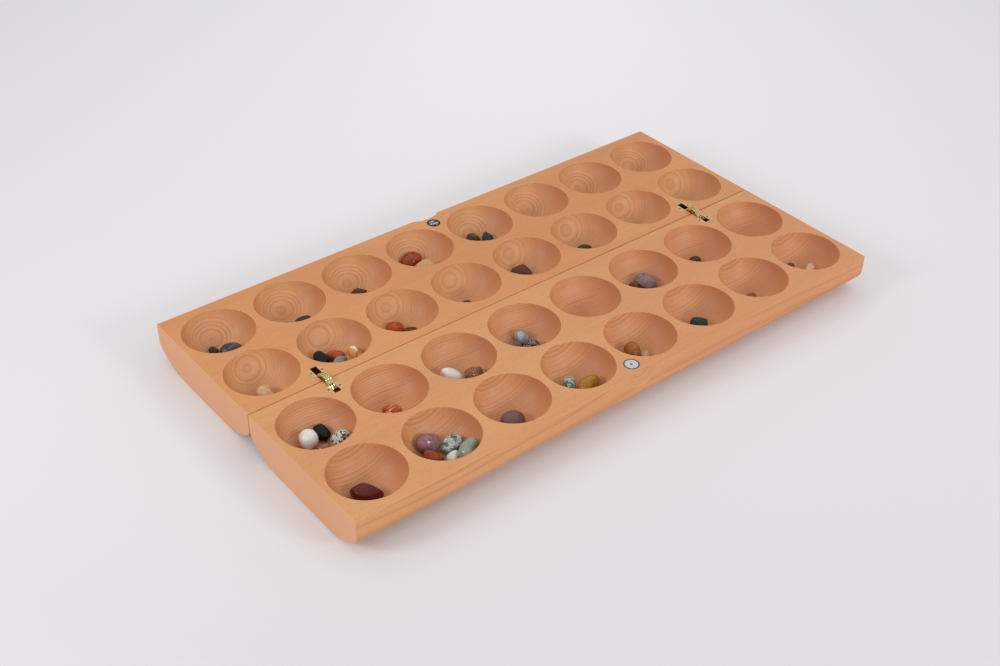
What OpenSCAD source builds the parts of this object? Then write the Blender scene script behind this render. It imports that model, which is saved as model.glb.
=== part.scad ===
// Folding four-row bao board: two routed beech halves, two brass cylinder hinges,
// a magnet catch and the loose playing stones that lie in the pits.
// Frame: origin on the floor under the middle of the seam, X along the board,
// Y towards the far half, Z up. Everything is drawn with the board laid open.

/* [Board] */

// length of the board along the seam, shared out among the eight columns of pits
board_len = 500; // [470:1:600]
// width of one half, from the seam face to the outer edge
half_width = 133; // [110:0.5:200]
// thickness of the wood
board_thick = 33; // [29:0.5:45]
// gap between the two seam faces when the board lies open
seam_gap = 0.6; // [0.2:0.1:2]
// width of the rounded lower corner, measured along the floor
corner_width = 38; // [24:0.5:48]
// height of the rounded lower corner
corner_height = 19; // [15:0.5:22]
// radius of the tighter upper arc of that corner
corner_side_radius = 11; // [6:0.5:13.5]
// rounding of the long upper edges
edge_ease = 1; // [0.4:0.1:2]
// broken edge around the two ends
end_ease = 0.9; // [0.4:0.1:3]

/* [Pits] */

// distance from the middle of the last pit to the end of the board
end_border = 33; // [30:0.5:45]
// distance between the two rows of one half
row_pitch = 62; // [58:0.5:66]
// diameter of a pit at the rim
pit_d = 55.6; // [40:0.2:57]
// depth of a pit at its middle
pit_depth = 23.6; // [16:0.2:25]
// width of the broken edge around a pit
rim_ease = 0.3; // [0.1:0.1:1]

/* [Finger scoops] */

// width of the scoop on the outer edge
scoop_width = 27; // [16:1:40]
// how far the scoop bites into the upper face
scoop_bite = 4.5; // [2:0.5:5]

/* [Catch] */

// distance of the catch from the outer edge of its half
catch_inset = 12.3; // [11.5:0.1:16]
// outer diameter of the steel cup in the near half
cup_d = 12.4; // [8:0.1:13]
// wall thickness of the cup
cup_wall = 0.5; // [0.3:0.05:1]
// height of the cup
cup_height = 4; // [2.5:0.1:6]
// thickness of the cup floor
cup_floor = 0.8; // [0.4:0.1:1.5]
// diameter of the magnet disc inside the cup
magnet_d = 10.2; // [6:0.1:10.8]
// diameter of the hole through the magnet disc
magnet_hole_d = 1.8; // [1:0.1:3]
// diameter of the steel strike in the far half
strike_d = 11.4; // [8:0.1:13]
// height of the strike
strike_height = 3; // [2:0.1:6]
// broken edge of the strike
strike_ease = 0.4; // [0.1:0.1:1]
// clearance all round the cup and the strike in their seats
catch_fit = 0.05; // [0.02:0.01:0.1]

/* [Hinges] */

// how many columns of pits lie outside each hinge
hinge_after = 1; // [1:1:3]
// diameter of a hinge barrel
barrel_d = 13; // [12:0.1:14]
// length of a hinge barrel
barrel_len = 15; // [14:0.5:20]
// distance from the middle of the seam to a barrel's axis
barrel_offset = 11.5; // [11:0.1:13]
// clearance all round a barrel in its bore
barrel_fit = 0.05; // [0.02:0.01:0.1]
// distance from the middle of the seam to the outer end of a barrel's slot
slot_end = 17.1; // [16:0.1:19]
// depth of a barrel's slot
slot_depth = 13; // [12:0.1:18]
// clearance on each side of the link pack in its slot
slot_fit = 0.15; // [0.05:0.05:0.5]
// distance from the middle of the seam to the end of the relief cut in the wood
relief_end = 4.2; // [3:0.1:5]
// depth of the relief cut in the wood
relief_depth = 4; // [3.6:0.1:8]
// diameter of the two small blind holes beside a slot
key_hole_d = 1.5; // [0.8:0.1:2]
// depth of those holes
key_hole_depth = 3; // [1:0.5:6]
// distance of those holes from the barrel's axis
key_hole_offset = 4.7; // [4:0.1:5.5]
// gap left between the two faces when the board is folded shut
fold_gap = 0.2; // [0.1:0.1:1]

/* [Links] */

// thickness of one link plate
plate_thick = 0.9; // [0.5:0.05:1.2]
// gap between neighbouring plates
plate_gap = 0.1; // [0.05:0.05:0.3]
// distance from the middle of the seam to a pivot pin
pivot_offset = 6.3; // [6:0.1:7]
// depth of a pivot pin below the fold axis
pivot_drop = 2; // [1.8:0.1:3]
// height of the centre pin above the fold axis with the board open
centre_rise = 2.6; // [2:0.1:4]
// width of a link plate
link_width = 1.6; // [1.4:0.1:1.7]
// diameter of a plate's eye around its pivot pin
pivot_eye_d = 2.7; // [2.2:0.1:3]
// diameter of a plate's eye around the centre pin
centre_eye_d = 2.4; // [2:0.1:3]
// diameter of a plate's eye around the slider pin
slider_eye_d = 1.8; // [1.8:0.1:2]
// diameter of a pivot pin
pivot_pin_d = 1.4; // [1:0.1:1.6]
// diameter of a centre pin
centre_pin_d = 1; // [0.6:0.1:1.2]
// diameter of a slider pin
slider_pin_d = 1; // [0.6:0.1:1.2]
// clearance all round a pin in its hole
pin_fit = 0.05; // [0.02:0.01:0.1]
// length of the clearance slot for the centre pin in the far plates
clear_slot_len = 2.9; // [2.5:0.1:3.2]
// width of that slot
clear_slot_width = 2.1; // [2:0.05:2.3]
// width of metal left around that slot
clear_slot_rim = 0.6; // [0.4:0.05:0.8]

/* [Stones] */

// gap left between a stone and the bowl it lies in
stone_gap = 0.1; // [0.05:0.05:0.3]
// the length that each stone's three sizes are counted in
stone_unit = 1; // [0.7:0.05:1.05]

/* [Hidden] */

$fn = 96;
over = 1;
stone_fn = 14;

beech = "#d69b6c";
brass = "#cdb468";
nickel = "#c9cdd0";
steel = "#5d6063";

near = -1;
far = 1;
left = -1;
right = 1;

half_mid = seam_gap / 2 + half_width / 2;
outer_edge = seam_gap / 2 + half_width;
pit_r = pit_d / 2;
bowl_r = (pit_r * pit_r + pit_depth * pit_depth) / (2 * pit_depth);
bowl_up = bowl_r - pit_depth;
columns = 8;
column_mid = (columns + 1) / 2;
column_pitch = (board_len - 2 * end_border) / (columns - 1);
hinge_x = (columns / 2 - hinge_after) * column_pitch;

// the lower corner is two arcs that meet without a kink: this is the wider one
corner_floor_radius = (pow(corner_width - corner_side_radius, 2) + pow(corner_height, 2)
    - pow(corner_side_radius, 2)) / (2 * (corner_height - corner_side_radius));

// half the turn that the flat between those arcs takes up
bridge_half = 1.5;

scoop_r = (pow(scoop_width / 2, 2) + pow(scoop_bite, 2)) / (2 * scoop_bite);

catch_y = outer_edge - catch_inset;

axis_z = board_thick + fold_gap / 2;
plate_pitch = plate_thick + plate_gap;
near_plates = [-1, 1];
far_plates = [-2, 0, 2];
pack_width = 5 * plate_thick + 4 * plate_gap;
slot_width = pack_width + 2 * slot_fit;

// the link's middle line from its pivot over the seam and down into the other barrel,
// measured from the fold axis, as seen along X with the pivot on the left
link_path = [
    [-pivot_offset, -pivot_drop],
    [-pivot_offset - 0.2, 0.4],
    [-pivot_offset + 1.4, 2],
    [-2.4, centre_rise + 0.3],
    [0, centre_rise],
    [2.5, centre_rise - 0.4],
    [4.7, 1.55],
    [6.6, 0.1],
    [7.8, -1],
    [9.2, -3.3]
];
slider_at = link_path[len(link_path) - 1];
clear_slot_turn = 15;

function pit_x(col) = (col - column_mid) * column_pitch;
function pit_y(side, row) = side * (half_mid + (row - 0.5) * row_pitch);

module eased_rect(w, h, c) {
    polygon([[c, 0], [w - c, 0], [w, c], [w, h - c], [w - c, h], [c, h], [0, h - c], [0, c]]);
}

function unit(v) = v / norm(v);
function along(deg) = [-sin(deg), -cos(deg)];

// What one lower corner leaves standing, with the side at x = 0. A wide arc rises from the
// floor and a tight one runs into the side; a short flat bridges the place where they meet.
module lower_corner() {
    reach = 2 * half_width;
    wide = [corner_width, corner_floor_radius];
    tight = [corner_side_radius, corner_height];
    meet = atan2(wide[0] - tight[0], wide[1] - tight[1]);
    p = wide + corner_floor_radius * along(meet - bridge_half);
    q = tight + corner_side_radius * along(meet + bridge_half);
    run = reach * unit(q - p);
    inward = [run[1], -run[0]];
    intersection() {
        union() {
            translate(wide)
                circle(corner_floor_radius);
            translate([corner_width, 0])
                square(reach);
            translate([corner_width - corner_floor_radius, corner_floor_radius])
                square(reach);
        }
        union() {
            translate(tight)
                circle(corner_side_radius);
            translate([0, corner_height])
                square(reach);
            polygon([tight, tight + reach * along(meet), [reach, -reach], [reach, corner_height]]);
        }
        polygon([q + run, p - run, p - run + inward, q + run + inward]);
    }
}

// the end profile of a half, seam face at x = 0
module half_profile() {
    intersection() {
        union() {
            square([half_width, board_thick - edge_ease]);
            translate([edge_ease, 0])
                square([half_width - 2 * edge_ease, board_thick]);
            for (x = [edge_ease, half_width - edge_ease])
                translate([x, board_thick - edge_ease])
                    circle(edge_ease);
        }
        lower_corner();
        translate([half_width, 0])
            mirror([1, 0])
                lower_corner();
    }
}

// the wood of one half before the pits are cut, seam face at y = 0
module half_blank() {
    intersection() {
        translate([-board_len / 2, 0, 0])
            rotate([90, 0, 90])
                linear_extrude(board_len)
                    half_profile();
        translate([-board_len / 2, half_width + over, 0])
            rotate([90, 0, 0])
                linear_extrude(half_width + 2 * over)
                    eased_rect(board_len, board_thick, end_ease);
        translate([-board_len / 2, 0, -over])
            linear_extrude(board_thick + 2 * over)
                eased_rect(board_len, half_width, end_ease);
    }
}

module pit() {
    translate([0, 0, board_thick + bowl_up])
        sphere(bowl_r);
    translate([0, 0, board_thick - rim_ease])
        cylinder(h = 2 * rim_ease, r1 = pit_r, r2 = pit_r + 2 * rim_ease);
}

// the bore for a barrel and the relief cut that lets the links rise over the seam
module hinge_seat() {
    translate([0, barrel_offset, board_thick - barrel_len])
        cylinder(h = barrel_len + over, d = barrel_d + 2 * barrel_fit);
    translate([-slot_width / 2, relief_end, board_thick - relief_depth])
        cube([slot_width, barrel_offset - relief_end, relief_depth + over]);
}

// drawn as the far half, so the near half is its mirror image
module wooden_half(seat_d, seat_depth) {
    difference() {
        translate([0, seam_gap / 2, 0])
            half_blank();
        for (col = [1 : columns], row = [0, 1])
            translate([pit_x(col), pit_y(far, row), 0])
                pit();
        for (side = [left, right])
            translate([side * hinge_x, 0, 0])
                hinge_seat();
        translate([0, catch_y, board_thick - seat_depth])
            cylinder(h = seat_depth + over, d = seat_d + 2 * catch_fit);
        translate([0, outer_edge + scoop_r - scoop_bite, board_thick])
            sphere(scoop_r);
    }
}

module near_half() {
    color(beech)
        mirror([0, 1, 0])
            wooden_half(cup_d, cup_height);
}

module far_half() {
    color(beech)
        wooden_half(strike_d, strike_height);
}

// one barrel, drawn for the far half
module barrel() {
    color(brass)
        difference() {
            translate([0, barrel_offset, board_thick - barrel_len])
                cylinder(h = barrel_len, d = barrel_d);
            translate([-slot_width / 2, 0, axis_z - slot_depth])
                cube([slot_width, slot_end, slot_depth + over]);
            translate([0, pivot_offset, axis_z - pivot_drop])
                rotate([0, 90, 0])
                    cylinder(h = barrel_d, d = pivot_pin_d + 2 * pin_fit, center = true);
            for (side = [left, right])
                translate([side * key_hole_offset, barrel_offset, board_thick - key_hole_depth])
                    cylinder(h = key_hole_depth + over, d = key_hole_d);
        }
}

module cross_pin(at, d, length) {
    color(brass)
        translate([0, at[0], axis_z + at[1]])
            rotate([0, 90, 0])
                cylinder(h = length, d = d, center = true);
}

// which way a path runs at one of its points
function heading(path, i) = unit(
    (i == 0 ? [0, 0] : unit(path[i] - path[i - 1]))
    + (i == len(path) - 1 ? [0, 0] : unit(path[i + 1] - path[i])));

// the point at that place, moved sideways by off
function beside(path, i, off) = path[i] + off * [-heading(path, i)[1], heading(path, i)[0]];

module link_outline() {
    last = len(link_path) - 1;
    polygon([
        for (i = [0 : last]) beside(link_path, i, link_width / 2),
        for (i = [last : -1 : 0]) beside(link_path, i, -link_width / 2)
    ]);
    translate(link_path[0])
        circle(d = pivot_eye_d);
    translate([0, centre_rise])
        circle(d = centre_eye_d);
    translate(slider_at)
        circle(d = slider_eye_d);
}

module link_pin_holes() {
    translate(link_path[0])
        circle(d = pivot_pin_d + 2 * pin_fit);
    translate(slider_at)
        circle(d = slider_pin_d + 2 * pin_fit);
}

// the slot that lets the centre pin wander while the board folds
module clearance_slot(width) {
    translate([0, centre_rise])
        rotate(-clear_slot_turn) {
            translate([0, -width / 2])
                square([clear_slot_len, width]);
            for (x = [0, clear_slot_len])
                translate([x, 0])
                    circle(d = width);
        }
}

module near_plate_outline() {
    difference() {
        link_outline();
        link_pin_holes();
        translate([0, centre_rise])
            circle(d = centre_pin_d + 2 * pin_fit);
    }
}

module far_plate_outline() {
    difference() {
        union() {
            link_outline();
            clearance_slot(clear_slot_width + 2 * clear_slot_rim);
        }
        link_pin_holes();
        clearance_slot(clear_slot_width);
    }
}

module plates(places) {
    color(brass)
        for (i = places)
            translate([i * plate_pitch, 0, axis_z])
                rotate([90, 0, 90])
                    linear_extrude(plate_thick, center = true)
                        children();
}

module near_links() {
    plates(near_plates)
        near_plate_outline();
}

module far_links() {
    mirror([0, 1, 0])
        plates(far_plates)
            far_plate_outline();
}

module on_side(side) {
    translate([side * hinge_x, 0, 0])
        children();
}

module near_barrel() {
    mirror([0, 1, 0])
        barrel();
}

// pressed through the barrel and ground flush with its round side
module pivot_pin(half) {
    color(brass)
        intersection() {
            cross_pin([half * pivot_offset, -pivot_drop], pivot_pin_d, barrel_d);
            translate([0, half * barrel_offset, board_thick - barrel_len])
                cylinder(h = barrel_len, d = barrel_d);
        }
}

module slider_pin(half) {
    cross_pin([half * slider_at[0], slider_at[1]], slider_pin_d, pack_width);
}

module centre_pin() {
    cross_pin([0, centre_rise], centre_pin_d, pack_width);
}

module magnet_cup() {
    color(nickel)
        translate([0, -catch_y, board_thick - cup_height])
            difference() {
                cylinder(h = cup_height, d = cup_d);
                translate([0, 0, cup_floor])
                    cylinder(h = cup_height, d = cup_d - 2 * cup_wall);
            }
}

module magnet_disc() {
    color(nickel)
        translate([0, -catch_y, board_thick - cup_height + cup_floor])
            difference() {
                cylinder(h = cup_height - cup_floor, d = magnet_d);
                translate([0, 0, -over])
                    cylinder(h = cup_height + 2 * over, d = magnet_hole_d);
            }
}

module strike_disc() {
    color(steel)
        translate([0, catch_y, board_thick - strike_height]) {
            cylinder(h = strike_height - strike_ease, d = strike_d);
            translate([0, 0, strike_height - strike_ease])
                cylinder(h = strike_ease, d1 = strike_d, d2 = strike_d - 2 * strike_ease);
        }
}

// A tumbled stone lying against the bowl. az is the side of the pit it lies on, tilt how far
// up that side it is, lay the direction its long axis points in when seen from above.
module pebble(az, tilt, size, lay = 0) {
    r = stone_unit * size[2] / 2;
    a = stone_unit * size[0] / 2 - r;
    b = stone_unit * size[1] / 2 - r;
    drop = sqrt(pow(bowl_r - stone_gap - r, 2) - a * a);
    rotate([0, 0, az])
        rotate([0, -tilt, 0])
            translate([0, 0, -drop])
                rotate([0, 0, lay - az])
                    hull() {
                        for (x = [-a, a])
                            translate([x, 0, 0])
                                sphere(r, $fn = stone_fn);
                        for (y = [-b, b])
                            translate([0, y, 0])
                                sphere(r, $fn = stone_fn);
                    }
}

module in_pit(side, row, col, tone) {
    color(tone)
        translate([pit_x(col), pit_y(side, row), board_thick + bowl_up])
            children();
}

module stones_a1() {
    in_pit(far, 1, 1, "#4f565c") {
        pebble(-20, 16, [17.5, 10, 7], -26);
        pebble(134, 15, [8, 7.5, 5.5], 71);
    }
}

module stones_a2() {
    in_pit(far, 1, 2, "#4a4644")
        pebble(-32, 21, [13.5, 8.5, 5.5], -31);
}

module stones_a3() {
    in_pit(far, 1, 3, "#4b4340")
        pebble(21, 4, [13, 8.5, 6], -17);
}

module stones_a4() {
    in_pit(far, 1, 4, "#7d3a26") {
        pebble(97, 27, [20.5, 13, 8], 10);
        pebble(-23, 9, [18.5, 11.5, 8.5], -6);
    }
}

module stones_a5() {
    in_pit(far, 1, 5, "#5c5a35") {
        pebble(107, 16, [13.5, 9.5, 7.5], -73);
        pebble(-1, 19, [14, 10, 7.5], 75);
    }
}

module stones_b1() {
    in_pit(far, 0, 1, "#d8c39a")
        pebble(-108, 4, [14, 13.5, 10], 60);
}

module stones_b2() {
    in_pit(far, 0, 2, "#7a4a3c") {
        pebble(148, 25, [14.5, 11.5, 7.5], -49);
        pebble(58, 15, [15.5, 9.5, 6], -37);
        pebble(-71, 9, [13, 8.5, 7.5], -4);
        pebble(-38, 38, [14.5, 13, 10.5], 27);
    }
}

module stones_b3() {
    in_pit(far, 0, 3, "#c4532c") {
        pebble(126, 15, [15, 11.5, 8.5], -8);
        pebble(-40, 13, [11, 7.5, 6], -24);
    }
}

module stones_b4() {
    in_pit(far, 0, 4, "#6a4a38")
        pebble(162, 1, [9, 6.5, 5], -46);
}

module stones_b5() {
    in_pit(far, 0, 5, "#4e3a44")
        pebble(100, 11, [19, 12, 9], -63);
}

module stones_b6() {
    in_pit(far, 0, 6, "#4c4832")
        pebble(29, 7, [13.5, 9, 7], -27);
}

module stones_c1() {
    in_pit(near, 0, 1, "#d9d6d0") {
        pebble(133, 17, [15, 14.5, 12.5], 59);
        pebble(40, 24, [15.5, 9.5, 7.5], 89);
        pebble(-38, 41, [17, 10.5, 8.5], -38);
        pebble(-88, 17, [11, 8, 6], -27);
    }
}

module stones_c2() {
    in_pit(near, 0, 2, "#c2522f")
        pebble(-113, 19, [17, 12.5, 10], -2);
}

module stones_c3() {
    in_pit(near, 0, 3, "#cfc9c0") {
        pebble(173, 18, [17, 13.5, 10.5], -55);
        pebble(-58, 30, [17.5, 14, 11.5], -74);
    }
}

module stones_c4() {
    in_pit(near, 0, 4, "#8f93a3") {
        pebble(62, 21, [13.5, 13, 8], 48);
        pebble(-45, 14, [15, 10.5, 8.5], -14);
        pebble(161, 19, [11.5, 9.5, 7], -12);
    }
}

module stones_c6() {
    in_pit(near, 0, 6, "#95838d") {
        pebble(19, 18, [20, 14.5, 9], -76);
        pebble(138, 16, [10, 9.5, 8], 40);
    }
}

module stones_c7() {
    in_pit(near, 0, 7, "#4f4a31")
        pebble(62, 6, [11.5, 9, 7.5], -29);
}

module stones_d1() {
    in_pit(near, 1, 1, "#5e2024")
        pebble(-139, 8, [23, 16.5, 12], -16);
}

module stones_d2() {
    in_pit(near, 1, 2, "#87907f") {
        pebble(106, 31, [19, 16, 10], 8);
        pebble(14, 26, [17, 12.5, 8], 1);
        pebble(-48, 48, [17.5, 14, 8.5], 12);
        pebble(-166, 24, [15, 14.5, 9.5], -81);
        pebble(-63, 20, [11, 11, 6.5], 63);
    }
}

module stones_d3() {
    in_pit(near, 1, 3, "#6a4b53")
        pebble(-127, 11, [22, 15.5, 11], 6);
}

module stones_d4() {
    in_pit(near, 1, 4, "#a87c33") {
        pebble(151, 16, [15.5, 11.5, 10], 44);
        pebble(-65, 22, [22.5, 14.5, 10.5], 13);
    }
}

module stones_d5() {
    in_pit(near, 1, 5, "#9a6427") {
        pebble(130, 13, [18, 13, 10.5], 59);
        pebble(-42, 12, [11.5, 7, 6], 34);
    }
}

module stones_d6() {
    in_pit(near, 1, 6, "#22332f")
        pebble(-59, 5, [16, 13.5, 9], 17);
}

module stones_d7() {
    in_pit(near, 1, 7, "#85584c")
        pebble(52, 1, [10.5, 7, 5.5], -63);
}

module stones_d8() {
    in_pit(near, 1, 8, "#c9a79a") {
        pebble(108, 22, [7.5, 7, 4], 44);
        pebble(-31, 17, [11.5, 7.5, 6.5], 25);
    }
}

near_half();
far_half();
on_side(left) near_barrel();  // barrel_near_left
on_side(right) near_barrel();  // barrel_near_right
on_side(left) barrel();  // barrel_far_left
on_side(right) barrel();  // barrel_far_right
on_side(left) pivot_pin(near);  // pivot_pin_near_left
on_side(right) pivot_pin(near);  // pivot_pin_near_right
on_side(left) pivot_pin(far);  // pivot_pin_far_left
on_side(right) pivot_pin(far);  // pivot_pin_far_right
on_side(left) near_links();  // links_near_left
on_side(right) near_links();  // links_near_right
on_side(left) far_links();  // links_far_left
on_side(right) far_links();  // links_far_right
on_side(left) centre_pin();  // centre_pin_left
on_side(right) centre_pin();  // centre_pin_right
on_side(left) slider_pin(far);  // slider_pin_near_left
on_side(right) slider_pin(far);  // slider_pin_near_right
on_side(left) slider_pin(near);  // slider_pin_far_left
on_side(right) slider_pin(near);  // slider_pin_far_right
magnet_cup();
magnet_disc();
strike_disc();
stones_a1();
stones_a2();
stones_a3();
stones_a4();
stones_a5();
stones_b1();
stones_b2();
stones_b3();
stones_b4();
stones_b5();
stones_b6();
stones_c1();
stones_c2();
stones_c3();
stones_c4();
stones_c6();
stones_c7();
stones_d1();
stones_d2();
stones_d3();
stones_d4();
stones_d5();
stones_d6();
stones_d7();
stones_d8();
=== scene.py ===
import math

import bpy
import numpy as np
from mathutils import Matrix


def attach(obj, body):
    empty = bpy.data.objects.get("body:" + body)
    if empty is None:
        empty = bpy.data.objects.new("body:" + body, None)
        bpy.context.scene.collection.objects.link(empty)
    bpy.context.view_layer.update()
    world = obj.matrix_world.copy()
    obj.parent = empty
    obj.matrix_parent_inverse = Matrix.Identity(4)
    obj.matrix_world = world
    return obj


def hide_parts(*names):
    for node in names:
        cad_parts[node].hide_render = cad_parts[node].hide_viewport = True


# The looks of a folding bao board: oiled beech, polished brass hinges, a magnet catch and tumbled
# stones. Lengths are in millimetres, in the board's own frame, until a mesh is made.
MM = 0.001

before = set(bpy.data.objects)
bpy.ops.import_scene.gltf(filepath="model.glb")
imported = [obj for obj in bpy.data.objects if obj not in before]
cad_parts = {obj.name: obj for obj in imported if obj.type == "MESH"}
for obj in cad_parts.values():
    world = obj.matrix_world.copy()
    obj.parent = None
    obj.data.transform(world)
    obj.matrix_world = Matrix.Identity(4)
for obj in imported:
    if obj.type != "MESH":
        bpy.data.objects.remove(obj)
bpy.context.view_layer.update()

# the two halves, as their solids have them
BOARD_LEN = 500.0
HALF_WIDTH = 133.0
THICK = 33.0
SEAM_GAP = 0.6
HALF_MID = SEAM_GAP / 2 + HALF_WIDTH / 2
LONG_EASE = 1.0
END_EASE = 0.9
NEAR, FAR = -1, 1
BODY = {NEAR: "near", FAR: "far"}

# a lower corner: a wide arc leaves the floor level and runs into a tight arc, which meets the side
CORNER_WIDTH = 38.0
CORNER_HEIGHT = 19.0
TIGHT_R = 11.0
CENTRES_APART_SIDEWAYS = CORNER_WIDTH - TIGHT_R
WIDE_R = (CENTRES_APART_SIDEWAYS**2 + CORNER_HEIGHT**2 - TIGHT_R**2) / (2 * (CORNER_HEIGHT - TIGHT_R))

# the pits, each a cap of a sphere with a rounded rim, in two rows of eight to a half
PITCH = 62.0
COLUMNS = 8
PIT_R = 27.8
PIT_DEPTH = 23.6
BOWL_R = (PIT_R**2 + PIT_DEPTH**2) / (2 * PIT_DEPTH)
BOWL_UP = BOWL_R - PIT_DEPTH
RIM_ROUND = 0.5
RIM_LIFT = 0.01

# the hinge bores, the relief cuts that run into them, the catch seats as (radius, depth), and the
# finger scoops
HINGE_X = 186.0
BARREL_OFFSET = 11.5
BORE_R = 6.55
BORE_DEPTH = 15.0
RELIEF_WIDTH = 5.2
RELIEF_DEPTH = 4.0
RELIEF_PAST_SEAM = 1.0
RELIEF_SHORT_OF_BARREL = 1.0
CATCH_BORDER = 12.3
CATCH_Y = SEAM_GAP / 2 + HALF_WIDTH - CATCH_BORDER
MAGNET_SEAT = (6.25, 4.0)
STRIKE_SEAT = (5.75, 3.0)
SCOOP_R = 22.5
SCOOP_BITE = 4.5
CUTTER_PROUD = 3.0

# how many points the arcs have, how many sides the turned cutters have, and the angle in degrees
# past which an edge is shaded sharp
CORNER_POINTS = 14
EASE_POINTS = 6
BOWL_POINTS = 26
RIM_POINTS = 9
SCOOP_POINTS = 40
PIT_SIDES = 120
BORE_SIDES = 64
SCOOP_SIDES = 96
SHARP_ANGLE = 32.0


def pit_at(side, row, col):
    """Middle of a pit's rim: row 0 is beside the seam, columns count 1 to 8 from the left."""
    x = (col - (COLUMNS + 1) / 2) * PITCH
    return np.array([x, side * (HALF_MID + (row - 0.5) * PITCH), THICK])


# materials


def linear(hex_colour):
    """An sRGB hex colour as linear RGBA: c/12.92 below 0.04045, else ((c+0.055)/1.055)^2.4."""
    c = [int(hex_colour[i : i + 2], 16) / 255 for i in (1, 3, 5)]
    return (*[v / 12.92 if v <= 0.04045 else ((v + 0.055) / 1.055) ** 2.4 for v in c], 1.0)


def add(tree, kind, links=None, values=None, stops=None, **settings):
    """Adds a shader node, links its sockets, fills others with values, and sets its properties."""
    node = tree.nodes.new("ShaderNode" + kind)
    for key, setting in settings.items():
        setattr(node, key, setting)

    def socket(key):
        if key in ("A", "B", "Factor") and kind == "Mix":
            kinds = ("VALUE",) if key == "Factor" else ("RGBA",)
            return next(i for i in node.inputs if i.name == key and i.type in kinds)
        return node.inputs[key]

    for key, value in (values or {}).items():
        socket(key).default_value = value
    for key, source in (links or {}).items():
        tree.links.new(source, socket(key))
    if stops:
        ramp = node.color_ramp
        while len(ramp.elements) < len(stops):
            ramp.elements.new(1.0)
        for element, (place, colour) in zip(ramp.elements, stops):
            element.position = place
            element.color = linear(colour)
    return node


def new_material(name, **settings):
    """An empty material with its Principled shader, whose sockets take the settings."""
    mat = bpy.data.materials.new(name)
    mat.use_nodes = True
    shader = mat.node_tree.nodes["Principled BSDF"]
    for key, value in settings.items():
        shader.inputs[key.replace("_", " ")].default_value = value
    return mat, mat.node_tree, shader


def in_mm(tree):
    """Object coordinates in millimetres."""
    metres = add(tree, "TexCoord").outputs["Object"]
    return add(tree, "VectorMath", {0: metres}, {"Scale": 1 / MM}, operation="SCALE").outputs[0]


def from_heart(tree, mm, heart):
    """The distance from the tree's heart, a line along X through heart = (y, z).

    Slow noises, about 80 mm wide and 250 mm long, first move each point by up to 3 mm, so that
    the rings wander as they do in a real plank."""
    slow = add(tree, "VectorMath", {0: mm}, {1: (0.004, 0.012, 0.012)}, operation="MULTIPLY")
    sway = add(tree, "TexNoise", {"Vector": slow.outputs[0]}, {"Scale": 1.0, "Detail": 2.0})
    half = (0.5, 0.5, 0.5)
    centred = add(tree, "VectorMath", {0: sway.outputs["Color"]}, {1: half}, operation="SUBTRACT")
    bent = add(
        tree,
        "VectorMath",
        {0: centred.outputs[0], 2: mm},
        {1: (0.0, 6.0, 6.0)},
        operation="MULTIPLY_ADD",
    )
    line = (0.0, *heart)
    away = add(tree, "VectorMath", {0: bent.outputs[0]}, {1: line}, operation="SUBTRACT")
    plane = (0.0, 1.0, 1.0)
    across = add(tree, "VectorMath", {0: away.outputs[0]}, {1: plane}, operation="MULTIPLY")
    return add(tree, "VectorMath", {0: across.outputs[0]}, operation="LENGTH").outputs["Value"]


# one year's growth as greys, black where the wood is pale and white where it is darkest
YEARS_GROWTH = [
    (0.0, "#404040"),
    (0.12, "#000000"),
    (0.5, "#606060"),
    (0.78, "#dadada"),
    (0.9, "#ffffff"),
    (1.0, "#404040"),
]


def growth_rings(tree, radius, year):
    """How dark the wood is at a distance from the heart, and how clearly the rings show there.

    A ring is year millimetres wide. After wet and dry years the rings stand closer in some places
    and wider in others, and elsewhere they fade."""
    uneven = add(
        tree, "TexNoise", {"W": radius}, {"Scale": 0.1, "Detail": 2.0}, noise_dimensions="1D"
    )
    years = add(tree, "Math", {0: radius}, {1: year}, operation="DIVIDE")
    count = add(
        tree,
        "Math",
        {0: uneven.outputs["Fac"], 2: years.outputs[0]},
        {1: 2.6},
        operation="MULTIPLY_ADD",
    )
    season = add(tree, "Math", {0: count.outputs[0]}, operation="FRACT")
    dark = add(tree, "ValToRGB", {"Fac": season.outputs[0]}, stops=YEARS_GROWTH)
    fading = add(
        tree, "TexNoise", {"W": radius}, {"Scale": 0.23, "Detail": 1.0}, noise_dimensions="1D"
    )
    return dark.outputs["Color"], fading.outputs["Fac"]


def in_a_pit(tree, mm):
    """1 on the routed wood of the pits and 0 on the sanded outside.

    The board is folded by its mirror planes and its pitch until all its bowls lie on one, and the
    distance from that bowl's middle is then compared with the bowl's radius."""
    unfolded = 1000.0
    cell = (PITCH, unfolded, unfolded)
    middle = (PITCH / 2, HALF_MID, THICK + BOWL_UP)
    to_row = (0.0, PITCH / 2, 0.0)
    quarter = add(tree, "VectorMath", {0: mm}, operation="ABSOLUTE")
    column = add(tree, "VectorMath", {0: quarter.outputs[0]}, {1: cell}, operation="MODULO")
    between = add(tree, "VectorMath", {0: column.outputs[0]}, {1: middle}, operation="SUBTRACT")
    mirrored = add(tree, "VectorMath", {0: between.outputs[0]}, operation="ABSOLUTE")
    from_bowl = add(tree, "VectorMath", {0: mirrored.outputs[0]}, {1: to_row}, operation="SUBTRACT")
    distance = add(tree, "VectorMath", {0: from_bowl.outputs[0]}, operation="LENGTH")
    return add(
        tree,
        "MapRange",
        {"Value": distance.outputs["Value"]},
        {"From Min": BOWL_R + 0.1, "From Max": BOWL_R + 0.5, "To Min": 1.0, "To Max": 0.0},
    ).outputs[0]


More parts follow.
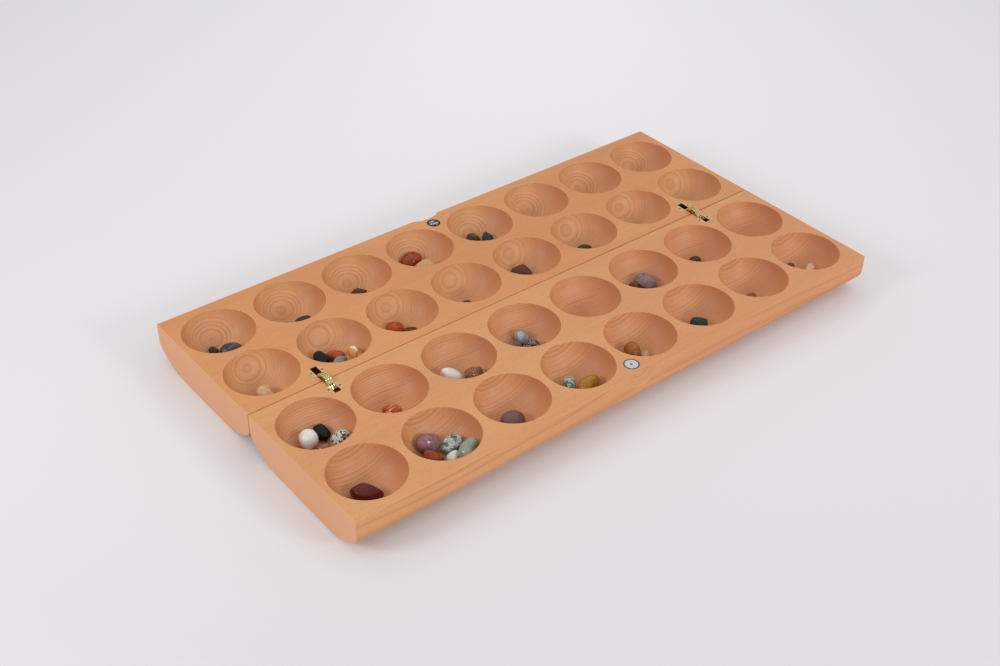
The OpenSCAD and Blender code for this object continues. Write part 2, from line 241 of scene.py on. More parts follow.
def oiled_beech(name, heart, year, pale, rosy, cut_face, pit_end_grain_and_shade):
    """Beech, routed, sanded and oiled: pale orange with pinker clouds, and growth rings in the pits.

    The outside is sanded finer than the routed pits and hardly shows the rings, but for its long
    sides, where they are lines that run the length of the board. The pits' wood leans to cut_face,
    and to pit_end_grain_and_shade on the walls that face along the board: partly end grain and
    partly painted shade."""
    mat, tree, shader = new_material(name, Roughness=0.5, IOR=1.5)
    mm = in_mm(tree)
    dark, fading = growth_rings(tree, from_heart(tree, mm, heart), year)
    routed = in_a_pit(tree, mm)
    facing = add(tree, "SeparateXYZ", {0: add(tree, "TexCoord").outputs["Normal"]})
    sideways = add(tree, "Math", {0: facing.outputs["Y"]}, operation="ABSOLUTE")
    lined = add(tree, "Math", {0: sideways.outputs[0]}, {1: 0.7}, operation="MULTIPLY")
    rough = add(tree, "Math", {0: lined.outputs[0], 1: routed}, operation="MAXIMUM")
    coarse = add(tree, "MapRange", {"Value": rough.outputs[0]}, {"To Min": 0.12, "To Max": 0.75})
    clear = add(tree, "Math", {0: fading, 1: coarse.outputs[0]}, operation="MULTIPLY")
    ring = add(tree, "Math", {0: dark, 1: clear.outputs[0]}, operation="MULTIPLY")

    # the long fibres, drawn 1 mm wide because real ones are too fine to show, and the short dark
    # ray flecks of beech, 3 mm long
    along = add(tree, "VectorMath", {0: mm}, {1: (0.02, 0.9, 0.9)}, operation="MULTIPLY")
    fibre = add(
        tree,
        "TexNoise",
        {"Vector": along.outputs[0]},
        {"Scale": 1.0, "Detail": 3.0, "Roughness": 0.6},
    )
    dashes = add(tree, "VectorMath", {0: mm}, {1: (0.35, 2.2, 2.2)}, operation="MULTIPLY")
    speck = add(tree, "TexNoise", {"Vector": dashes.outputs[0]}, {"Scale": 1.0, "Detail": 1.0})
    fleck = add(
        tree,
        "MapRange",
        {"Value": speck.outputs["Fac"]},
        {"From Min": 0.6, "From Max": 0.7, "To Min": 0.0, "To Max": 0.3},
    )

    # the clouds, about 50 mm wide and 160 mm long, with the rings, flecks and fibres drawn on them
    broad = add(tree, "VectorMath", {0: mm}, {1: (0.006, 0.02, 0.02)}, operation="MULTIPLY")
    cloud = add(tree, "TexNoise", {"Vector": broad.outputs[0]}, {"Scale": 1.0, "Detail": 3.0})
    body = add(tree, "ValToRGB", {"Fac": cloud.outputs["Fac"]}, stops=[(0.38, pale), (0.62, rosy)])
    # the pits take cut_face, which on the far half is paler than its outside
    pit_share = add(tree, "MapRange", {"Value": routed}, {"To Max": 0.6})
    wood = add(
        tree,
        "Mix",
        {"Factor": pit_share.outputs[0], "A": body.outputs["Color"]},
        {"B": linear(cut_face)},
        data_type="RGBA",
    )
    ringed = add(
        tree,
        "Mix",
        {"Factor": ring.outputs[0], "A": wood.outputs["Result"]},
        {"B": linear("#a0603d")},
        data_type="RGBA",
    )
    flecked = add(
        tree,
        "Mix",
        {"Factor": fleck.outputs[0], "A": ringed.outputs["Result"]},
        {"B": linear("#a4663f")},
        data_type="RGBA",
    )
    tint = add(
        tree,
        "MapRange",
        {"Value": fibre.outputs["Fac"]},
        {"From Min": 0.25, "From Max": 0.75, "To Min": 0.95, "To Max": 1.05},
    )
    toned = add(
        tree,
        "VectorMath",
        {0: flecked.outputs["Result"], "Scale": tint.outputs[0]},
        operation="SCALE",
    )

    # where the surface faces along the board the end grain shows: pinker on the sanded ends, and in
    # the pits darker and redder, partly the routed end grain drinking more oil and partly painted
    # shade on the pit walls that face along the board
    facing_along_board = add(tree, "Math", {0: facing.outputs["X"]}, operation="ABSOLUTE")
    end_grain_and_shade_share = add(
        tree,
        "MapRange",
        {"Value": facing_along_board.outputs[0]},
        {"From Min": 0.4, "From Max": 0.95, "To Min": 0.0, "To Max": 0.72},
    )
    end_grain_and_pit_shade = add(
        tree,
        "Mix",
        {"Factor": routed},
        {"A": linear("#d69e79"), "B": linear(pit_end_grain_and_shade)},
        data_type="RGBA",
    )
    grained_and_shaded = add(
        tree,
        "Mix",
        {"Factor": end_grain_and_shade_share.outputs[0], "A": toned.outputs[0], "B": end_grain_and_pit_shade.outputs["Result"]},
        data_type="RGBA",
    )
    tree.links.new(grained_and_shaded.outputs["Result"], shader.inputs["Base Color"])
    relief = add(tree, "Math", {0: fibre.outputs["Fac"], 1: ring.outputs[0]}, operation="SUBTRACT")
    bump = add(tree, "Bump", {"Height": relief.outputs[0]}, {"Strength": 0.25, "Distance": 0.00005})
    tree.links.new(bump.outputs["Normal"], shader.inputs["Normal"])
    return mat


def marked_metal(name, colour, roughness, marks_per_mm, detail, gloss, dim):
    """A metal mirror with faint marks, from which the finishes below are made.

    The marks move the roughness between two shares of its typical value, gloss = (least,
    greatest), and dim the colour towards dim times itself."""
    mat, tree, shader = new_material(name, Metallic=1.0)
    marks = add(
        tree,
        "TexNoise",
        {"Vector": in_mm(tree)},
        {"Scale": marks_per_mm, "Detail": detail, "Roughness": 0.7},
    ).outputs["Fac"]
    least, greatest = [roughness * share for share in gloss]
    rough = add(
        tree,
        "MapRange",
        {"Value": marks},
        {"From Min": 0.3, "From Max": 0.7, "To Min": least, "To Max": greatest},
    )
    bright = linear(colour)
    dimmed = (*[dim * v for v in bright[:3]], 1.0)
    tone = add(tree, "Mix", {"Factor": marks}, {"A": bright, "B": dimmed}, data_type="RGBA")
    tree.links.new(tone.outputs["Result"], shader.inputs["Base Color"])
    tree.links.new(rough.outputs[0], shader.inputs["Roughness"])
    return mat, tree, shader, marks


def polished_brass(name, colour, roughness):
    """Brass turned and polished: a warm yellow mirror with faint rubbing marks."""
    mat, tree, shader, rub = marked_metal(name, colour, roughness, 1.3, 4.0, (0.7, 1.5), 0.8)
    bump = add(tree, "Bump", {"Height": rub}, {"Strength": 0.15, "Distance": 0.00003})
    tree.links.new(bump.outputs["Normal"], shader.inputs["Normal"])
    return mat


def plated_metal(name, colour, roughness):
    """Nickel plate, barrelled smooth: a cool grey mirror with fine handling marks."""
    return marked_metal(name, colour, roughness, 2.1, 5.0, (0.6, 1.6), 0.72)[0]


def painted_reflection_strike():
    """The steel strike: dark, as a painted dark reflection with painted shade towards its rim, and
    bright and streaky in the middle, as a painted reflection of the room.
    """
    mat, tree, shader = new_material("steel_with_painted_reflection", Metallic=1.0, Roughness=0.18)
    middle = (0.0, CATCH_Y, THICK)
    away = add(tree, "VectorMath", {0: in_mm(tree)}, {1: middle}, operation="SUBTRACT").outputs[0]
    radius = add(tree, "VectorMath", {0: away}, operation="LENGTH").outputs["Value"]
    along = add(tree, "VectorMath", {0: away}, {1: (0.18, 0.55, 0.3)}, operation="MULTIPLY")
    streak = add(
        tree,
        "TexNoise",
        {"Vector": along.outputs[0]},
        {"Scale": 1.0, "Detail": 2.0, "Distortion": 0.8},
    ).outputs["Fac"]
    painted_streaks = add(tree, "MapRange", {"Value": streak}, {"From Min": 0.44, "From Max": 0.56})
    painted_reflection_area = add(
        tree,
        "MapRange",
        {"Value": radius},
        {"From Min": 3.4, "From Max": 4.4, "To Min": 1.0, "To Max": 0.0},
    )
    painted_reflection = add(tree, "Math", {0: painted_streaks.outputs[0], 1: painted_reflection_area.outputs[0]}, operation="MULTIPLY")
    # painted reflection: the bright streaks in the middle stand in for the room mirrored in the
    # polished disc, and the dark tone for a dark mirrored room and painted shade towards the rim of
    # its seat
    tone = add(
        tree,
        "Mix",
        {"Factor": painted_reflection.outputs[0]},
        {"A": linear("#2c2829"), "B": linear("#d0d4da")},
        data_type="RGBA",
    )
    tree.links.new(tone.outputs["Result"], shader.inputs["Base Color"])
    return mat


def tumbled_stone(name, colours, grain=5.0, stretch=(1, 1, 1), sharp=0.2, clear=0.0):
    """Quartz, jasper or agate, tumbled and polished: a wet gloss over a clouded or banded body.

    A noise with features of about grain millimetres runs through the colours; stretch draws them
    out into bands, sharp narrows the change from one to the next, clear lets light into the body."""
    mat, tree, shader = new_material(name, Roughness=0.1, IOR=1.54, Specular_IOR_Level=0.25)
    if clear:
        shader.inputs["Subsurface Weight"].default_value = clear
        shader.inputs["Subsurface Scale"].default_value = 0.003
    per_mm = tuple(s / grain for s in stretch)
    drawn = add(tree, "VectorMath", {0: in_mm(tree)}, {1: per_mm}, operation="MULTIPLY")
    cloud = add(
        tree,
        "TexNoise",
        {"Vector": drawn.outputs[0]},
        {"Scale": 1.0, "Detail": 3.0, "Roughness": 0.55, "Distortion": 0.4},
    )
    low, step = 0.5 - sharp, 2 * sharp / max(len(colours) - 1, 1)
    stops = [(low + i * step, c) for i, c in enumerate(colours)]
    tone = add(tree, "ValToRGB", {"Fac": cloud.outputs["Fac"]}, stops=stops)
    tree.links.new(tone.outputs["Color"], shader.inputs["Base Color"])
    return mat


STONE_LOOKS = {
    "slate": tumbled_stone("slate_grey_jasper", ["#4e4c4b", "#35302d", "#6c6b6a"], 6),
    "charcoal": tumbled_stone("charcoal_jasper", ["#33231a", "#4b3a2e", "#241911"], 4),
    "umber": tumbled_stone("umber_jasper", ["#452817", "#5d3a22", "#2f1c10"], 5),
    "redbrown": tumbled_stone("red_brown_jasper", ["#84341c", "#a04a28", "#641f12"], 7),
    "cream": tumbled_stone("cream_calcite", ["#e2bb86", "#d2a268", "#ebcd9f"], 7, clear=0.15),
    "olive": tumbled_stone("olive_jasper", ["#4f4322", "#3a331b", "#6b5a30"], 5),
    "teal": tumbled_stone("dark_teal_jasper", ["#1b2824", "#283c36", "#141a18"], 5),
    "ivory": tumbled_stone("ivory_calcite", ["#deba8b", "#cfa36e", "#e9cea6"], 8, clear=0.15),
    "black": tumbled_stone("black_obsidian", ["#080706", "#12100e"], 8),
    "redorange": tumbled_stone(
        "red_orange_carnelian", ["#ac3e1b", "#c65a2a", "#872c13"], 6, clear=0.2
    ),
    "bluegrey": tumbled_stone(
        "blue_grey_chalcedony", ["#a09d9c", "#83807f", "#bcbab9"], 7, clear=0.2
    ),
    "amber_band": tumbled_stone(
        "banded_amber_agate",
        ["#efdcbc", "#d09a55", "#bc7a30", "#a8651f"],
        11,
        stretch=(1.5, 0.5, 0.6),
        sharp=0.1,
        clear=0.15,
    ),
    "darkbrown": tumbled_stone("dark_brown_jasper", ["#55290f", "#6f3e1c", "#3a1e0e"], 5),
    "purplebrown": tumbled_stone("purple_brown_jasper", ["#4c2a20", "#653f30", "#35201a"], 6),
    "white": tumbled_stone("white_quartz", ["#e4e3e2", "#d9d6d3", "#ebeae9"], 6, clear=0.15),
    "shell": tumbled_stone("pink_cream_calcite", ["#e2c3ad", "#d6b096", "#ead2c0"], 6, clear=0.15),
    "tree_agate": tumbled_stone(
        "white_and_green_agate",
        ["#ccd0ca", "#bfc4bd", "#d8dbd6", "#39463f", "#222e2a"],
        2.6,
        sharp=0.14,
    ),
    "moss": tumbled_stone("moss_agate", ["#34493f", "#68827a", "#c9cec7", "#4a635a"], 4, sharp=0.16),
    "pinkbrown": tumbled_stone("pink_brown_jasper", ["#a5664a", "#8a5038", "#ba8062"], 5),
    "coral": tumbled_stone(
        "coral_carnelian",
        ["#e4b494", "#c6582b", "#b4441b", "#be5022", "#a23811"],
        5,
        stretch=(1, 2.2, 1),
        sharp=0.12,
        clear=0.15,
    ),
    "pebble": tumbled_stone(
        "speckled_brown_jasper", ["#7c4f2c", "#9c6c44", "#5a3519", "#bd946a"], 2.5
    ),
    "purplegrey": tumbled_stone(
        "purple_grey_jasper",
        ["#32242a", "#4b3a40", "#a3979b", "#3b2c32", "#231a1c"],
        3,
        sharp=0.16,
    ),
    "grey": tumbled_stone("grey_brown_chalcedony", ["#8a6c5c", "#6e5446", "#a58a78"], 5),
    "lavender": tumbled_stone(
        "grey_lavender_chalcedony", ["#776660", "#8d7d79", "#5b4b46"], 6, clear=0.2
    ),
    "burgundy": tumbled_stone("burgundy_jasper", ["#4c1311", "#5f1d19", "#3b0f0d"], 9),
    "mauve": tumbled_stone("mauve_amethyst", ["#845a60", "#987377", "#6d484b"], 8, clear=0.2),
    "palegreen": tumbled_stone(
        "pale_green_aventurine", ["#98a28f", "#84907d", "#b0b8a7"], 6, clear=0.25
    ),
    "carnelian": tumbled_stone("brown_carnelian", ["#7c2d11", "#984119", "#5d210a"], 7, clear=0.2),
    "violetbrown": tumbled_stone(
        "violet_brown_jasper", ["#573539", "#795450", "#452829"], 6, sharp=0.3
    ),
    "amber": tumbled_stone("amber_gold_agate", ["#a06b17", "#b37d23", "#865810"], 9, clear=0.2),
    "tigereye": tumbled_stone(
        "golden_brown_agate", ["#8e5016", "#a46524", "#73400f"], 7, stretch=(0.6, 2, 1), clear=0.15
    ),
}


# meshes


def shown(name, points, faces, material, body=None, replaced=(), slot=None):
    """Makes a mesh from points in millimetres, and hangs it on a body in place of its solids."""
    mesh = bpy.data.meshes.new(name)
    mesh.from_pydata((np.asarray(points) * MM).tolist(), [], faces)
    mesh.materials.append(material)
    obj = bpy.data.objects.new(name, mesh)
    bpy.context.scene.collection.objects.link(obj)
    mesh.shade_smooth()
    if body:
        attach(obj, body)
        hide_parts(*replaced)
    return obj


def ring_faces(rows, cols):
    """Quads between rows of points that each close into a ring."""
    i, j = np.meshgrid(np.arange(rows - 1), np.arange(cols), indexing="ij")
    k = (j + 1) % cols
    quads = np.stack([i * cols + j, i * cols + k, (i + 1) * cols + k, (i + 1) * cols + j], -1)
    return quads.reshape(-1, 4).tolist()


def closed_shell(rings, poles=None):
    """Points and faces of a tube of rings, closed by fans to its two poles or by two flat faces."""
    rings = np.asarray(rings)
    rows, cols = rings.shape[:2]
    points = rings.reshape(-1, 3)
    faces = ring_faces(rows, cols)
    first = np.arange(cols)
    last = (rows - 1) * cols + first
    if poles is None:
        return points, faces + [first[::-1].tolist(), last.tolist()]
    start, end = np.full(cols, len(points)), np.full(cols, len(points) + 1)
    start_fan = np.stack([start, np.roll(first, -1), first], -1)
    end_fan = np.stack([end, last, np.roll(last, -1)], -1)
    return np.vstack([points, *poles]), faces + start_fan.tolist() + end_fan.tolist()


def lathe(profile, centre, sides):
    """Turns a profile of (radius, height) once round the vertical through centre.

    The profile starts and ends on that vertical, and its two ends are the poles."""
    profile = np.asarray(profile, float)
    angle = np.linspace(0, 2 * np.pi, sides, endpoint=False)
    r, z = profile[1:-1, :1], profile[1:-1, 1:]
    rings = np.stack([r * np.cos(angle), r * np.sin(angle), z + 0 * angle], -1) + centre
    poles = [centre + np.array([0, 0, height]) for height in profile[[0, -1], 1]]
    return closed_shell(rings, poles)


def arc(centre, radius, start, stop, count):
    """Points on an arc, angles in degrees."""
    a = np.radians(np.linspace(start, stop, count))
    return np.stack([centre[0] + radius * np.cos(a), centre[1] + radius * np.sin(a)], -1)


def end_outline():
    """The end profile of a half as (distance from the seam face, height), anticlockwise.

    Each lower corner is a wide arc that rises from the floor and a tight arc that runs into the
    side; they meet where the line through their centres cuts them."""
    wide = (CORNER_WIDTH, WIDE_R)
    tight = (TIGHT_R, CORNER_HEIGHT)
    meet = math.degrees(math.atan2(tight[1] - wide[1], tight[0] - wide[0])) % 360
    tight_arc = arc(tight, TIGHT_R, 180, meet, CORNER_POINTS)
    wide_arc = arc(wide, WIDE_R, meet, 270, CORNER_POINTS)
    left = np.vstack([tight_arc, wide_arc[1:]])
    right = left[::-1] * [-1, 1] + [HALF_WIDTH, 0]
    ease_z = THICK - LONG_EASE
    top_right = arc((HALF_WIDTH - LONG_EASE, ease_z), LONG_EASE, 0, 90, EASE_POINTS)
    top_left = arc((LONG_EASE, ease_z), LONG_EASE, 90, 180, EASE_POINTS)
    return np.vstack([left, right, top_right, top_left])


def inset(outline, distance):
    """Moves each point of a closed outline inwards along the mean of its two edges' normals."""
    edge = np.roll(outline, -1, 0) - outline
    edge /= np.linalg.norm(edge, axis=1, keepdims=True)
    heading = edge + np.roll(edge, 1, 0)
    heading /= np.linalg.norm(heading, axis=1, keepdims=True)
    return outline + distance * np.stack([-heading[:, 1], heading[:, 0]], -1)


def blank(side):
    """A half before the pits are cut: its end profile along X, with each end rounded over."""
    outline = end_outline()
    turn = np.radians(np.linspace(0, 90, EASE_POINTS))
    step_in = END_EASE * (1 - np.sin(turn))
    step_along = END_EASE * (1 - np.cos(turn))
    stations = [(-BOARD_LEN / 2 + a, i) for a, i in zip(step_along, step_in)]
    stations += [(BOARD_LEN / 2 - a, i) for a, i in zip(step_along[::-1], step_in[::-1])]
    rings = []
    for x, inward in stations:
        yz = inset(outline, inward)
        y = side * (yz[:, 0] + SEAM_GAP / 2)
        rings.append(np.stack([0 * yz[:, 0] + x, y, yz[:, 1]], -1))
    points, faces = closed_shell(rings)
    return points, faces if side == NEAR else [f[::-1] for f in faces]


def pit_profile():
    """A pit's section as (radius, height), from its lowest point up the bowl and over the rim.

    The rim's small circle touches the bowl from outside, and its top stands a hair above the
    board's face, so that the cutter crosses the face cleanly."""
    rim_z = -RIM_ROUND + RIM_LIFT
    rim_r = math.sqrt((BOWL_R + RIM_ROUND) ** 2 - (BOWL_UP - rim_z) ** 2)
    touch = math.degrees(math.atan2(rim_z - BOWL_UP, rim_r))
    bowl = arc((0, BOWL_UP), BOWL_R, -90, touch, BOWL_POINTS)
    rim = arc((rim_r, rim_z), RIM_ROUND, touch + 180, 90, RIM_POINTS)
    return np.vstack([bowl, rim[1:], [[rim_r, CUTTER_PROUD], [0, CUTTER_PROUD]]])


def joined(parts):
    """One mesh's points and faces from several closed shells that lie apart."""
    points, faces, first = [], [], 0
    for p, f in parts:
        points.append(p)
        faces += [[first + i for i in face] for face in f]
        first += len(p)
    return np.vstack(points), faces


def drill(radius, depth, x, y):
    """A round cutter that leaves a hole of this depth in the board's face."""
    section = [[0, -depth], [radius, -depth], [radius, CUTTER_PROUD], [0, CUTTER_PROUD]]
    return lathe(section, np.array([x, y, THICK]), BORE_SIDES)


def round_cutters(side, seat):
    """What the router and the drills take out of a half: pits, hinge bores, catch seat and scoop."""
    pits = [pit_at(side, row, col) for row in (0, 1) for col in range(1, COLUMNS + 1)]
    section = pit_profile()
    parts = [lathe(section, pit, PIT_SIDES) for pit in pits]
    parts += [drill(BORE_R, BORE_DEPTH, x, side * BARREL_OFFSET) for x in (-HINGE_X, HINGE_X)]
    parts.append(drill(*seat, 0, side * CATCH_Y))
    scoop_y = side * (SEAM_GAP / 2 + HALF_WIDTH + SCOOP_R - SCOOP_BITE)
    scoop = arc((0, 0), SCOOP_R, -90, 90, SCOOP_POINTS)
    parts.append(lathe(scoop, np.array([0, scoop_y, THICK]), SCOOP_SIDES))
    return joined(parts)


def relief_cutters(side):
    """The two relief cuts that let the links rise over the seam."""
    parts = []
    for x in (-HINGE_X, HINGE_X):
        x0, x1 = x - RELIEF_WIDTH / 2, x + RELIEF_WIDTH / 2
        y0, y1 = sorted([side * -RELIEF_PAST_SEAM, side * (BARREL_OFFSET - RELIEF_SHORT_OF_BARREL)])
        corners = np.array([[x0, y0], [x1, y0], [x1, y1], [x0, y1]])
        heights = (THICK - RELIEF_DEPTH, THICK + CUTTER_PROUD)
        parts.append(closed_shell([np.column_stack([corners, np.full(4, z)]) for z in heights]))
    return joined(parts)


def carved_half(side, seat, material):
    """A beech half: the blank less its cutters, with shading kept flat across the broad faces."""
    body = BODY[side]
    node, slot = body + "_half", "beech_" + body
    half = shown("beech_half_" + body, *blank(side), material, body, [node], slot)
    cuts = {"round_cuts": round_cutters(side, seat), "relief_cuts": relief_cutters(side)}
    for label, shape in cuts.items():
        cut = half.modifiers.new(label, "BOOLEAN")
        cut.object = shown(label, *shape, material)
        cut.operation = "DIFFERENCE"
        cut.solver = "MANIFOLD"
    bpy.context.view_layer.update()
    evaluated = half.evaluated_get(bpy.context.evaluated_depsgraph_get())
    carved = bpy.data.meshes.new_from_object(evaluated)
    cutters = [m.object for m in half.modifiers]
    half.modifiers.clear()
    half.data = carved
    for cutter in cutters:
        bpy.data.objects.remove(cutter)
    carved.shade_smooth()
    carved.set_sharp_from_angle(angle=math.radians(SHARP_ANGLE))
    weighted = half.modifiers.new("flat_faces", "WEIGHTED_NORMAL")
    weighted.keep_sharp = True


# a stone's flats, how far their directions stray, their distances, how sharp the edges between
# them stay, its points round and from pole to pole, and its gap to the bowl
FLATS = 14
STRAY = 0.18
FLAT_DISTANCES = (0.95, 1.04)
EDGES = (3.5, 8.0)
STONE_SIDES = 48
STONE_RINGS = 29
STONE_GAP = 0.1
GOLDEN_TURN = math.pi * (3 - math.sqrt(5))
# another handful has other flats on every stone
HANDFUL = 99000


def pebble(az, tilt, size, lay, seed):
    """A tumbled stone against the bowl: a many-sided lump whose edges the tumbling has rounded off.

    Its flats are spread evenly on a spiral round the lump and then shaken a little. Seen from its
    middle, the surface in a direction lies at (the sum of (cosine to a flat's normal / that flat's
    distance)^p over the flats that face that way)^(-1/p), which is flat-sided for a large p and
    rounder for a small one. The lump is stretched to size, leans tilt degrees up the side az of the
    bowl with its long axis towards lay, and sinks until it all but touches the bowl."""
    rng = np.random.default_rng(seed)
    u = np.linspace(0, 2 * np.pi, STONE_SIDES, endpoint=False)[None, :]
    v = np.linspace(-np.pi / 2, np.pi / 2, STONE_RINGS)[:, None]
    way = np.stack([np.cos(v) * np.cos(u), np.cos(v) * np.sin(u), np.sin(v) + 0 * u], -1)
    rise = 1 - (2 * np.arange(FLATS) + 1) / FLATS
    level = np.sqrt(1 - rise**2)
    spiral = GOLDEN_TURN * np.arange(FLATS) + rng.uniform(0, 2 * np.pi)
    flats = np.stack([level * np.cos(spiral), level * np.sin(spiral), rise], -1)
    flats += rng.normal(size=flats.shape) * STRAY
    flats /= np.linalg.norm(flats, axis=1, keepdims=True)
    distances = rng.uniform(*FLAT_DISTANCES, FLATS)
    p = rng.uniform(*EDGES)
    facing = np.maximum(way @ flats.T, 0) / distances
    lump = way * ((facing**p).sum(-1) ** (-1 / p))[..., None]
    low, high = lump.min((0, 1)), lump.max((0, 1))
    lump = ((lump - low) / (high - low) - 0.5) * np.array(size)
    lump = turned(lump, lay - az, 2)
    reach = BOWL_R - STONE_GAP
    down = (lump[..., 2] + np.sqrt(reach**2 - lump[..., 0] ** 2 - lump[..., 1] ** 2)).min()
    lump = turned(turned(lump - [0, 0, down], -tilt, 1), az, 2)
    return closed_shell(lump[1:-1], [lump[0, 0], lump[-1, 0]])


def turned(q, degrees, axis):
    """Points turned about X, Y or Z, axis 0, 1 or 2, by the right-hand rule."""
    a = math.radians(degrees)
    i, j = (axis + 1) % 3, (axis + 2) % 3
    out = np.array(q, float)
    out[..., i] = q[..., i] * math.cos(a) - q[..., j] * math.sin(a)
    out[..., j] = q[..., i] * math.sin(a) + q[..., j] * math.cos(a)
    return out


# Stones in each pit: side it lies on, tilt up the bowl, (length, width, thickness), lay, look.
STONES = {
    "a1": [
        (-29.3, 16.6, (17.4, 11.5, 8.3), -31, "slate"),
        (132.8, 14.7, (8, 7.7, 5.5), 80, "charcoal"),
    ],
    "a2": [(-34.7, 20.9, (13.4, 8.9, 6.4), -45, "charcoal")],
    "a3": [(15.6, 3.3, (12.9, 9, 6.5), -30, "umber")],
    "a4": [
        (99.5, 26.3, (20.1, 13.2, 9.5), 9, "redbrown"),
        (-67.6, 11.3, (17.2, 12, 11.3), -22, "cream"),
    ],
    "a5": [
        (117.3, 14.9, (12, 10.6, 9.4), -35, "olive"),
        (-3.2, 18.2, (14.5, 9.7, 7.8), 77, "teal"),
    ],
    "b1": [(-108.5, 3.7, (14.2, 13.3, 10.1), 71, "ivory")],
    "b2": [
        (158.7, 26.5, (14.5, 12.9, 9.3), -76, "black"),
        (57.9, 14.8, (14.7, 9.4, 6.7), -33, "redorange"),
        (-81.9, 10.5, (12.5, 9.1, 8.3), -4, "bluegrey"),
        (-42.6, 39.8, (14.2, 12.5, 11.8), 35, "amber_band"),
    ],
    "b3": [
        (122.6, 15.2, (15.3, 11.3, 8.1), -6, "redorange"),
        (-50.6, 13.6, (10.9, 7.3, 7.1), -39, "darkbrown"),
    ],
    "b4": [(177.7, 1.6, (8.9, 6.4, 4.9), -24, "umber")],
    "b5": [(109.3, 10.6, (18, 13.1, 10.4), -36, "purplebrown")],
    "b6": [(28.8, 6.4, (13.1, 9.1, 7.1), -40, "olive")],
    "c1": [
        (140.9, 16.9, (14.4, 14.2, 14), 60, "white"),
        (40.1, 24.5, (14.9, 10.1, 7.2), 90, "black"),
        (-43.7, 43.7, (17.9, 11.8, 10), -59, "tree_agate"),
        (-91.5, 20, (11.4, 7.5, 7.2), -49, "pinkbrown"),
    ],
    "c2": [(-114.2, 21.1, (17.7, 11.7, 10.9), -71, "coral")],
    "c3": [
        (-178.7, 20.5, (16.9, 13.9, 11.8), -48, "white"),
        (-56.6, 29.1, (20.4, 13.5, 11.2), -88, "pebble"),
    ],
    "c4": [
        (62.9, 19.8, (13.4, 13.1, 9.4), 37, "bluegrey"),
        (-68.6, 16.6, (14, 11.1, 10.8), -41, "purplegrey"),
        (168.4, 20.8, (11.9, 9.2, 7.9), -1, "grey"),
    ],
    "c6": [
        (18.6, 17.6, (20.7, 13.7, 9.8), -77, "lavender"),
        (149.4, 16.8, (10, 9.7, 9.4), 58, "darkbrown"),
    ],
    "c7": [(63.7, 5.8, (11.4, 9.2, 7.6), -30, "olive")],
    "d1": [(-139.4, 8.2, (22.9, 16.4, 12.1), -50, "burgundy")],
    "d2": [
        (108.6, 31.1, (19.4, 15.5, 11.1), 7, "mauve"),
        (12.9, 25.6, (16.6, 12.8, 9.1), -1, "moss"),
        (-51.4, 50.9, (17.5, 14.4, 10), -6, "palegreen"),
        (-163.8, 25.5, (15.1, 13.6, 10.3), -50, "carnelian"),
        (-66.9, 20.3, (11.4, 9.5, 7.2), -2, "white"),
    ],
    "d3": [(-128.3, 17.2, (20, 17.7, 12.7), 0, "violetbrown")],
    "d4": [
        (155.7, 16.4, (15.9, 11.5, 10.5), 44, "moss"),
        (-70, 25, (22, 15, 12.5), 20, "amber"),
    ],
    "d5": [
        (148.5, 13.6, (17.6, 12.8, 12.5), 52, "tigereye"),
        (-33.8, 11.7, (11.2, 7.3, 5.5), 48, "cream"),
    ],
    "d6": [(-75.9, 5.6, (14.7, 14, 10), 29, "teal")],
    "d7": [(-145.2, 1.1, (10.5, 7.2, 6.6), -38, "pinkbrown")],
    "d8": [
        (109.7, 22.2, (8.3, 6.3, 4.6), 14, "darkbrown"),
        (-34, 17.2, (11.7, 7.7, 7), 42, "shell"),
    ],
}
ROWS = {"a": (FAR, 1), "b": (FAR, 0), "c": (NEAR, 0), "d": (NEAR, 1)}


def stones(pit, heap):
    """The stones of one pit, one mesh with a material for each stone."""
    side, row = ROWS[pit[0]]
    col = int(pit[1])
    bowl_middle = pit_at(side, row, col) + [0, 0, BOWL_UP]
    seed = HANDFUL + 100 * ord(pit[0]) + 10 * col
    parts = []
    for i, (*lie, _look) in enumerate(heap):
        points, faces = pebble(*lie, seed + i)
        parts.append((points + bowl_middle, faces))
    looks = [STONE_LOOKS[stone[-1]] for stone in heap]
    node, slot = "stones_" + pit, "stone_" + pit
    obj = shown("tumbled_stones_" + pit, *joined(parts), looks[0], BODY[side], [node], slot)
    for look in looks[1:]:
        obj.data.materials.append(look)
    which = np.repeat(np.arange(len(parts)), [len(faces) for _points, faces in parts])
    obj.data.polygons.foreach_set("material_index", which.astype(np.int32))


def finished(node, material):
    """Gives a solid of the board its finish."""
    for material_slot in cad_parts[node].material_slots:
        material_slot.material = material


beech_near = oiled_beech(
    "oiled_beech_near",
    heart=(-6.0, 46.0),
    year=1.9,
    pale="#d69a65",
    rosy="#d3905f",
    cut_face="#d99a6c",
    pit_end_grain_and_shade="#ae663e",
)
beech_far = oiled_beech(
    "oiled_beech_far",
    heart=(150.0, -38.0),
    year=1.55,
    pale="#d5935c",
    rosy="#d08a55",
    cut_face="#dca877",
    pit_end_grain_and_shade="#b36c43",
)
carved_half(NEAR, MAGNET_SEAT, beech_near)
carved_half(FAR, STRIKE_SEAT, beech_far)
for pit_name, pile in STONES.items():
    stones(pit_name, pile)

# each metal by the words in its nodes' names
METALS = {
    "barrel_": polished_brass("polished_barrel_brass", "#ecc48c", 0.2),
    "links_": polished_brass("polished_link_brass", "#e8cc94", 0.16),
    "_pin_": polished_brass("turned_pin_brass", "#c9a970", 0.24),
    "magnet_cup": plated_metal("nickel_plated_cup", "#8f9194", 0.25),
    "magnet_disc": plated_metal("nickel_plated_magnet", "#eae9e6", 0.24),
    "strike_disc": painted_reflection_strike(),
}
for node_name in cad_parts:
    for words, metal in METALS.items():
        if words in node_name:
            finished(node_name, metal)


# the studio

FLOOR_REACH = 12000.0
GRID_ANGLE = 100.0


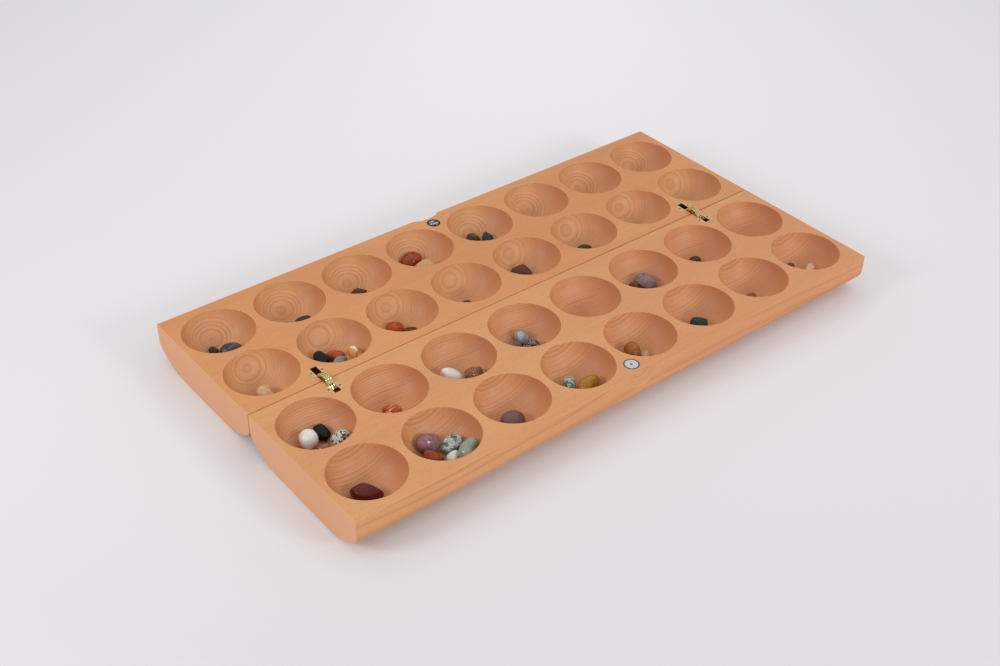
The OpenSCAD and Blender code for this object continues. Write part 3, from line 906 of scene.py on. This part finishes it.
def studio_floor():
    """A pale floor with painted light in its colour: a painted pool of light behind the board's right
    end, painted shade a metre from there, and paler again further off, painted light that hides the
    lamps' falloff."""
    corners = np.array([[-1, -1, 0], [1, -1, 0], [1, 1, 0], [-1, 1, 0]]) * FLOOR_REACH
    paper, tree, shader = new_material("pale_backdrop_paper", Roughness=0.9)
    # the colour carries painted light: a painted pool of light round this point, painted shade about
    # a metre off, and paler again further out
    painted_pool_middle = (420.0, 490.0, 0.0)
    away = add(tree, "VectorMath", {0: in_mm(tree)}, {1: painted_pool_middle}, operation="DISTANCE")
    share = add(tree, "MapRange", {"Value": away.outputs["Value"]}, {"From Max": 2000.0})
    painted_light_tones = [(0.0, "#fcfafd"), (0.5, "#dedcdf"), (1.0, "#f4f2f5")]
    tone = add(tree, "ValToRGB", {"Fac": share.outputs[0]}, stops=painted_light_tones)
    tree.links.new(tone.outputs["Color"], shader.inputs["Base Color"])
    floor = shown("studio_floor", corners, [[0, 1, 2, 3]], paper)


def softbox(name, place, aim, size, watts):
    """A square lamp at place, turned towards aim, both in metres.

    The honeycomb grid before it keeps its light off the floor on its own side of the board."""
    lamp = bpy.data.lights.new(name, "AREA")
    lamp.shape = "SQUARE"
    lamp.size = size
    lamp.energy = watts
    lamp.spread = math.radians(GRID_ANGLE)
    obj = bpy.data.objects.new(name, lamp)
    bpy.context.scene.collection.objects.link(obj)
    obj.location = place
    x, y, z = np.array(aim, float) - np.array(place, float)
    obj.rotation_euler = (math.atan2(math.hypot(x, y), -z), 0, math.atan2(y, x) - math.pi / 2)


def world_light(colour, strength):
    """Even light from all round, as in a white room."""
    world = bpy.data.worlds.new("white_room")
    bpy.context.scene.world = world
    world.use_nodes = True
    background = world.node_tree.nodes["Background"]
    background.inputs["Color"].default_value = linear(colour)
    background.inputs["Strength"].default_value = strength


def photo_camera(place, turn, lens):
    """The camera that took the photo, as the pit rims give it: place in metres, turn in degrees."""
    data = bpy.data.cameras.new("photo_camera")
    data.lens = lens
    data.sensor_width = 36.0
    data.sensor_fit = "HORIZONTAL"
    data.clip_start = 0.01
    camera = bpy.data.objects.new("photo_camera", data)
    bpy.context.scene.collection.objects.link(camera)
    camera.location = place
    camera.rotation_euler = [math.radians(a) for a in turn]
    bpy.context.scene.camera = camera


studio_floor()
world_light("#ffffff", 0.77)
softbox("left_softbox", place=(-1.24, 0.218, 0.727), aim=(-0.3, 0, 0), size=0.35, watts=1.42)
softbox("right_softbox", place=(0.446, -1.663, 0.803), aim=(0, 0, 0), size=0.36, watts=2.45)
photo_camera(
    place=(-0.57530, -0.66797, 0.64853),
    turn=(53.18574525, -0.91757295, -38.78778139),
    lens=49.337,
)
bpy.context.scene.view_settings.view_transform = "Standard"

bpy.context.view_layer.update()
